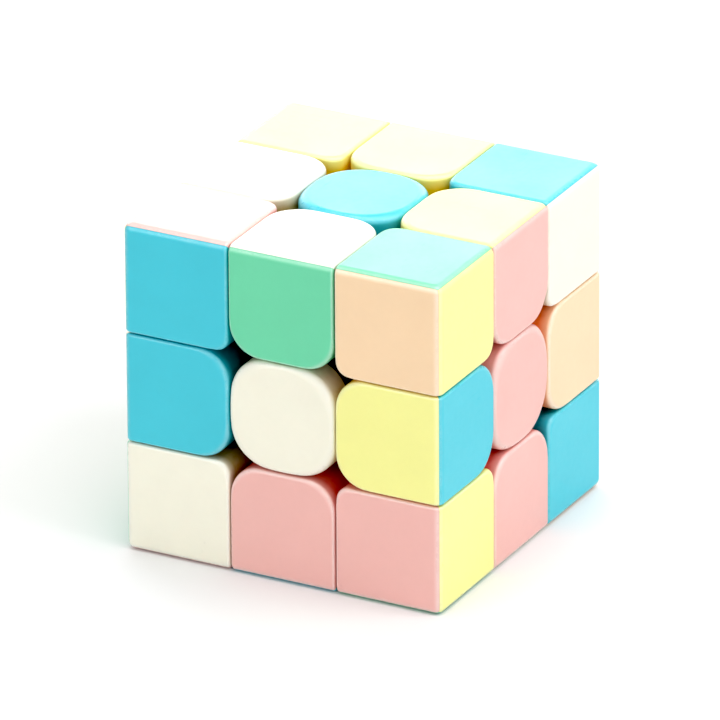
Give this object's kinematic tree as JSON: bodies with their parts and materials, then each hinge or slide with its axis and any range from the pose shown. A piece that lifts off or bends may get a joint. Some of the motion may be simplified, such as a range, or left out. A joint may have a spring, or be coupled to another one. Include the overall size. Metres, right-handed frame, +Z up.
{
  "type": "twisty cube puzzle",
  "caption": "Cube puzzle of pastel plastic pieces: corner and edge pieces ride on trapped feet round a sprung core, and each outer layer turns about its face centre.",
  "frame": {"origin": "centre of the cube, where the six turning axes meet", "axes": "+Z up through the upper face, -Y out of the front face, +X out of the right face; each turning axis is a face normal"},
  "size_m": [0.056, 0.056, 0.056],
  "materials": {
    "cream_white": "satin-gloss moulded plastic, coloured through",
    "yellow": "satin-gloss moulded plastic, coloured through",
    "pink": "satin-gloss moulded plastic, coloured through",
    "cyan": "satin-gloss moulded plastic, coloured through",
    "mint": "satin-gloss moulded plastic, coloured through",
    "peach": "satin-gloss moulded plastic, coloured through",
    "inner_plastic": "plain moulded plastic with a light film of grease",
    "screw_steel": "bright zinc plating",
    "washer_steel": "stamped steel",
    "spring_steel": "drawn wire"
  },
  "bodies": {
    "core": {"core": "inner_plastic"},
    "screw_up": {"tension_screw_up": "screw_steel"},
    "screw_down": {"tension_screw_down": "screw_steel"},
    "screw_front": {"tension_screw_front": "screw_steel"},
    "screw_back": {"tension_screw_back": "screw_steel"},
    "screw_right": {"tension_screw_right": "screw_steel"},
    "screw_left": {"tension_screw_left": "screw_steel"},
    "turn_up": {"washer_up": "washer_steel", "spring_up": "spring_steel"},
    "turn_down": {"washer_down": "washer_steel", "spring_down": "spring_steel"},
    "turn_front": {"washer_front": "washer_steel", "spring_front": "spring_steel"},
    "turn_back": {"washer_back": "washer_steel", "spring_back": "spring_steel"},
    "turn_right": {"washer_right": "washer_steel", "spring_right": "spring_steel"},
    "turn_left": {"washer_left": "washer_steel", "spring_left": "spring_steel"},
    "centre_up": {"centre_body_up": "inner_plastic", "centre_cap_up": "cyan"},
    "centre_down": {"centre_body_down": "inner_plastic", "centre_cap_down": "mint"},
    "centre_front": {"centre_body_front": "inner_plastic", "centre_cap_front": "cream_white"},
    "centre_back": {"centre_body_back": "inner_plastic", "centre_cap_back": "yellow"},
    "centre_right": {"centre_body_right": "inner_plastic", "centre_cap_right": "pink"},
    "centre_left": {"centre_body_left": "inner_plastic", "centre_cap_left": "peach"},
    "edge_up_front": {"edge_up_front": "cream_white"},
    "edge_up_back": {"edge_up_back": "yellow"},
    "edge_up_right": {"edge_up_right": "yellow"},
    "edge_up_left": {"edge_up_left": "cream_white"},
    "edge_down_front": {"edge_down_front": "cyan"},
    "edge_down_back": {"edge_down_back": "pink"},
    "edge_down_right": {"edge_down_right": "cream_white"},
    "edge_down_left": {"edge_down_left": "peach"},
    "edge_front_right": {"edge_front_right": "yellow"},
    "edge_front_left": {"edge_front_left": "cyan"},
    "edge_back_right": {"edge_back_right": "cyan"},
    "edge_back_left": {"edge_back_left": "peach"},
    "corner_up_front_right": {"corner_up_front_right_shells": "mint", "corner_up_front_right_foot": "inner_plastic"},
    "corner_up_front_left": {"corner_up_front_left_shells": "pink", "corner_up_front_left_foot": "inner_plastic"},
    "corner_up_back_right": {"corner_up_back_right_shells": "cyan", "corner_up_back_right_foot": "inner_plastic"},
    "corner_up_back_left": {"corner_up_back_left_shells": "yellow", "corner_up_back_left_foot": "inner_plastic"},
    "corner_down_front_right": {"corner_down_front_right_shells": "mint", "corner_down_front_right_foot": "inner_plastic"},
    "corner_down_front_left": {"corner_down_front_left_shells": "pink", "corner_down_front_left_foot": "inner_plastic"},
    "corner_down_back_right": {"corner_down_back_right_shells": "peach", "corner_down_back_right_foot": "inner_plastic"},
    "corner_down_back_left": {"corner_down_back_left_shells": "peach", "corner_down_back_left_foot": "inner_plastic"}
  },
  "joints": [
    {"name": "face_turn_up", "type": "hinge", "parent": "core", "child": "turn_up", "pos_m": [0, 0, 0], "axis": [0, 0, 1], "continuous": true},
    {"name": "face_turn_down", "type": "hinge", "parent": "core", "child": "turn_down", "pos_m": [0, 0, 0], "axis": [0, 0, -1], "continuous": true},
    {"name": "face_turn_front", "type": "hinge", "parent": "core", "child": "turn_front", "pos_m": [0, 0, 0], "axis": [0, -1, 0], "continuous": true},
    {"name": "face_turn_back", "type": "hinge", "parent": "core", "child": "turn_back", "pos_m": [0, 0, 0], "axis": [0, 1, 0], "continuous": true},
    {"name": "face_turn_right", "type": "hinge", "parent": "core", "child": "turn_right", "pos_m": [0, 0, 0], "axis": [1, 0, 0], "continuous": true},
    {"name": "face_turn_left", "type": "hinge", "parent": "core", "child": "turn_left", "pos_m": [0, 0, 0], "axis": [-1, 0, 0], "continuous": true},
    {"name": "centre_float_up", "type": "slide", "parent": "turn_up", "child": "centre_up", "axis": [0, 0, 1], "range_m": [0, 0.0008], "stiffness_N_per_m": 400, "springref_m": -0.003, "deforming": ["spring_up"]},
    {"name": "centre_float_down", "type": "slide", "parent": "turn_down", "child": "centre_down", "axis": [0, 0, -1], "range_m": [0, 0.0008], "stiffness_N_per_m": 400, "springref_m": -0.003, "deforming": ["spring_down"]},
    {"name": "centre_float_front", "type": "slide", "parent": "turn_front", "child": "centre_front", "axis": [0, -1, 0], "range_m": [0, 0.0008], "stiffness_N_per_m": 400, "springref_m": -0.003, "deforming": ["spring_front"]},
    {"name": "centre_float_back", "type": "slide", "parent": "turn_back", "child": "centre_back", "axis": [0, 1, 0], "range_m": [0, 0.0008], "stiffness_N_per_m": 400, "springref_m": -0.003, "deforming": ["spring_back"]},
    {"name": "centre_float_right", "type": "slide", "parent": "turn_right", "child": "centre_right", "axis": [1, 0, 0], "range_m": [0, 0.0008], "stiffness_N_per_m": 400, "springref_m": -0.003, "deforming": ["spring_right"]},
    {"name": "centre_float_left", "type": "slide", "parent": "turn_left", "child": "centre_left", "axis": [-1, 0, 0], "range_m": [0, 0.0008], "stiffness_N_per_m": 400, "springref_m": -0.003, "deforming": ["spring_left"]},
    {"name": "screw_adjust_up", "type": "hinge", "parent": "core", "child": "screw_up", "pos_m": [0, 0, 0], "axis": [0, 0, 1], "range_deg": [-270, 270]},
    {"name": "screw_adjust_down", "type": "hinge", "parent": "core", "child": "screw_down", "pos_m": [0, 0, 0], "axis": [0, 0, -1], "range_deg": [-270, 270]},
    {"name": "screw_adjust_front", "type": "hinge", "parent": "core", "child": "screw_front", "pos_m": [0, 0, 0], "axis": [0, -1, 0], "range_deg": [-270, 270]},
    {"name": "screw_adjust_back", "type": "hinge", "parent": "core", "child": "screw_back", "pos_m": [0, 0, 0], "axis": [0, 1, 0], "range_deg": [-270, 270]},
    {"name": "screw_adjust_right", "type": "hinge", "parent": "core", "child": "screw_right", "pos_m": [0, 0, 0], "axis": [1, 0, 0], "range_deg": [-270, 270]},
    {"name": "screw_adjust_left", "type": "hinge", "parent": "core", "child": "screw_left", "pos_m": [0, 0, 0], "axis": [-1, 0, 0], "range_deg": [-270, 270]},
    {"name": "edge_up_front_about_front", "type": "hinge", "parent": "turn_up", "child": "edge_up_front", "pos_m": [0, 0, 0], "axis": [0, -1, 0], "continuous": true},
    {"name": "edge_up_back_about_back", "type": "hinge", "parent": "turn_up", "child": "edge_up_back", "pos_m": [0, 0, 0], "axis": [0, 1, 0], "continuous": true},
    {"name": "edge_up_right_about_up", "type": "hinge", "parent": "turn_right", "child": "edge_up_right", "pos_m": [0, 0, 0], "axis": [0, 0, 1], "continuous": true},
    {"name": "edge_up_left_about_up", "type": "hinge", "parent": "turn_left", "child": "edge_up_left", "pos_m": [0, 0, 0], "axis": [0, 0, 1], "continuous": true},
    {"name": "edge_down_front_about_front", "type": "hinge", "parent": "turn_down", "child": "edge_down_front", "pos_m": [0, 0, 0], "axis": [0, -1, 0], "continuous": true},
    {"name": "edge_down_back_about_back", "type": "hinge", "parent": "turn_down", "child": "edge_down_back", "pos_m": [0, 0, 0], "axis": [0, 1, 0], "continuous": true},
    {"name": "edge_down_right_about_down", "type": "hinge", "parent": "turn_right", "child": "edge_down_right", "pos_m": [0, 0, 0], "axis": [0, 0, -1], "continuous": true},
    {"name": "edge_down_left_about_down", "type": "hinge", "parent": "turn_left", "child": "edge_down_left", "pos_m": [0, 0, 0], "axis": [0, 0, -1], "continuous": true},
    {"name": "edge_front_right_about_right", "type": "hinge", "parent": "turn_front", "child": "edge_front_right", "pos_m": [0, 0, 0], "axis": [1, 0, 0], "continuous": true},
    {"name": "edge_front_left_about_left", "type": "hinge", "parent": "turn_front", "child": "edge_front_left", "pos_m": [0, 0, 0], "axis": [-1, 0, 0], "continuous": true},
    {"name": "edge_back_right_about_right", "type": "hinge", "parent": "turn_back", "child": "edge_back_right", "pos_m": [0, 0, 0], "axis": [1, 0, 0], "continuous": true},
    {"name": "edge_back_left_about_left", "type": "hinge", "parent": "turn_back", "child": "edge_back_left", "pos_m": [0, 0, 0], "axis": [-1, 0, 0], "continuous": true},
    {"name": "corner_up_front_right_about_up", "type": "hinge", "parent": "edge_front_right", "child": "corner_up_front_right", "pos_m": [0, 0, 0], "axis": [0, 0, 1], "continuous": true},
    {"name": "corner_up_front_left_about_up", "type": "hinge", "parent": "edge_front_left", "child": "corner_up_front_left", "pos_m": [0, 0, 0], "axis": [0, 0, 1], "continuous": true},
    {"name": "corner_up_back_right_about_up", "type": "hinge", "parent": "edge_back_right", "child": "corner_up_back_right", "pos_m": [0, 0, 0], "axis": [0, 0, 1], "continuous": true},
    {"name": "corner_up_back_left_about_up", "type": "hinge", "parent": "edge_back_left", "child": "corner_up_back_left", "pos_m": [0, 0, 0], "axis": [0, 0, 1], "continuous": true},
    {"name": "corner_down_front_right_about_front", "type": "hinge", "parent": "edge_down_right", "child": "corner_down_front_right", "pos_m": [0, 0, 0], "axis": [0, -1, 0], "continuous": true},
    {"name": "corner_down_front_left_about_left", "type": "hinge", "parent": "edge_down_front", "child": "corner_down_front_left", "pos_m": [0, 0, 0], "axis": [-1, 0, 0], "continuous": true},
    {"name": "corner_down_back_right_about_right", "type": "hinge", "parent": "edge_down_back", "child": "corner_down_back_right", "pos_m": [0, 0, 0], "axis": [1, 0, 0], "continuous": true},
    {"name": "corner_down_back_left_about_back", "type": "hinge", "parent": "edge_down_left", "child": "corner_down_back_left", "pos_m": [0, 0, 0], "axis": [0, 1, 0], "continuous": true}
  ],
  "couplings": [
    {"joint": "edge_up_front_about_front", "follows": "face_turn_front", "ratio": 1},
    {"joint": "edge_up_back_about_back", "follows": "face_turn_back", "ratio": 1},
    {"joint": "edge_up_right_about_up", "follows": "face_turn_up", "ratio": 1},
    {"joint": "edge_up_left_about_up", "follows": "face_turn_up", "ratio": 1},
    {"joint": "edge_down_front_about_front", "follows": "face_turn_front", "ratio": 1},
    {"joint": "edge_down_back_about_back", "follows": "face_turn_back", "ratio": 1},
    {"joint": "edge_down_right_about_down", "follows": "face_turn_down", "ratio": 1},
    {"joint": "edge_down_left_about_down", "follows": "face_turn_down", "ratio": 1},
    {"joint": "edge_front_right_about_right", "follows": "face_turn_right", "ratio": 1},
    {"joint": "edge_front_left_about_left", "follows": "face_turn_left", "ratio": 1},
    {"joint": "edge_back_right_about_right", "follows": "face_turn_right", "ratio": 1},
    {"joint": "edge_back_left_about_left", "follows": "face_turn_left", "ratio": 1},
    {"joint": "corner_up_front_right_about_up", "follows": "face_turn_up", "ratio": 1},
    {"joint": "corner_up_front_left_about_up", "follows": "face_turn_up", "ratio": 1},
    {"joint": "corner_up_back_right_about_up", "follows": "face_turn_up", "ratio": 1},
    {"joint": "corner_up_back_left_about_up", "follows": "face_turn_up", "ratio": 1},
    {"joint": "corner_down_front_right_about_front", "follows": "face_turn_front", "ratio": 1},
    {"joint": "corner_down_front_left_about_left", "follows": "face_turn_left", "ratio": 1},
    {"joint": "corner_down_back_right_about_right", "follows": "face_turn_right", "ratio": 1},
    {"joint": "corner_down_back_left_about_back", "follows": "face_turn_back", "ratio": 1}
  ]
}
